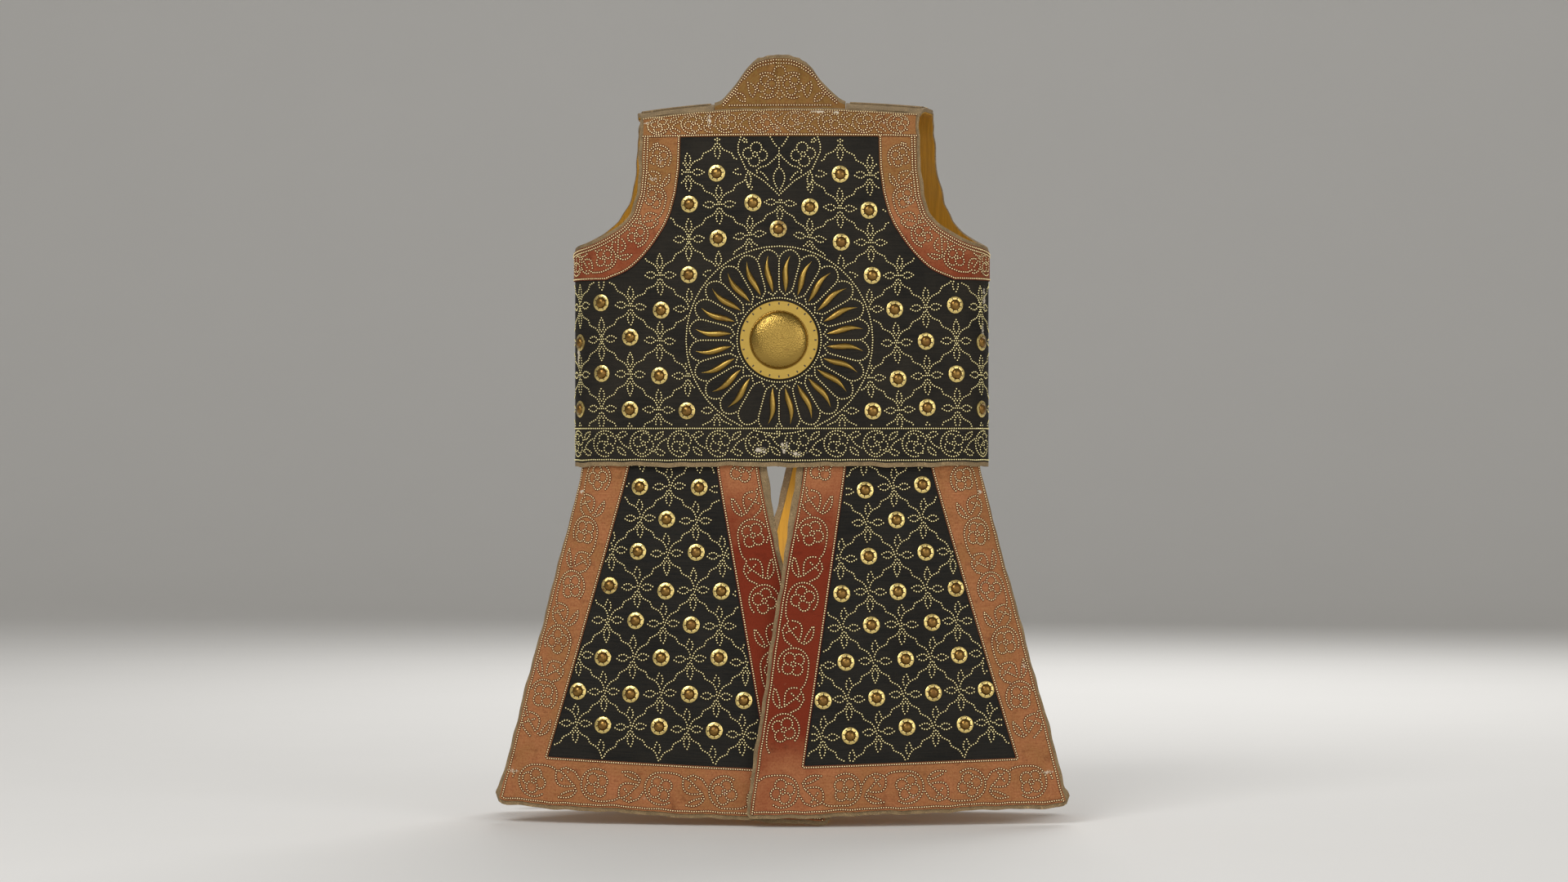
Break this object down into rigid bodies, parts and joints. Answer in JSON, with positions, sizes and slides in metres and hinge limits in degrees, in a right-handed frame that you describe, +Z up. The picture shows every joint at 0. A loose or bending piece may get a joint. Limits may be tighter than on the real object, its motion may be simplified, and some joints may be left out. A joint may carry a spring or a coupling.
{
  "type": "studded armour coat",
  "caption": "Sleeveless armour coat studded with brass nails and rosettes, with red borders, a standing neck guard, a sun boss on the back and flared split skirts.",
  "frame": {"origin": "on the wearer's shoulders: midway between the shoulder crests, at the height of the shoulder line", "axes": "+Z up along the body, +Y the way the wearer faces, +X to the wearer's right; the studded back with the sun faces -Y"},
  "size_m": [0.6638, 0.2464, 0.8775],
  "materials": {
    "field": "dark, worn, dull facing of the stiff panels",
    "band": "faded red to tan, scuffed bands and borders",
    "lining": "mustard silk with streaks",
    "brass": "gold-coloured brass, rubbed"
  },
  "bodies": {
    "root": {"back_armhole_band_left": "band", "back_armhole_band_right": "band", "back_lining": "lining", "back_panel": "field", "back_top_band": "band", "front_border_left": "band", "front_border_right": "band", "front_lining_left": "lining", "front_lining_right": "lining", "front_panel_left": "field", "front_panel_right": "field", "neck_guard": "band", "skirt_back_left": "field", "skirt_back_right": "field", "skirt_border_back_left": "band", "skirt_border_back_right": "band", "skirt_border_front_left": "band", "skirt_border_front_right": "band", "skirt_front_left": "field", "skirt_front_right": "field", "skirt_lining_back_left": "lining", "skirt_lining_back_right": "lining", "skirt_lining_front_left": "lining", "skirt_lining_front_right": "lining", "sun_boss": "brass", "sun_ray_01": "brass", "sun_ray_02": "brass", "sun_ray_03": "brass", "sun_ray_04": "brass", "sun_ray_05": "brass", "sun_ray_06": "brass", "sun_ray_07": "brass", "sun_ray_08": "brass", "sun_ray_09": "brass", "sun_ray_10": "brass", "sun_ray_11": "brass", "sun_ray_12": "brass", "sun_ray_13": "brass", "sun_ray_15": "brass", "sun_ray_16": "brass", "sun_ray_17": "brass", "sun_ray_18": "brass", "sun_ray_19": "brass", "sun_ray_20": "brass", "sun_ray_21": "brass", "sun_ray_22": "brass", "sun_ray_23": "brass", "sun_ray_24": "brass"}
  },
  "joints": []
}
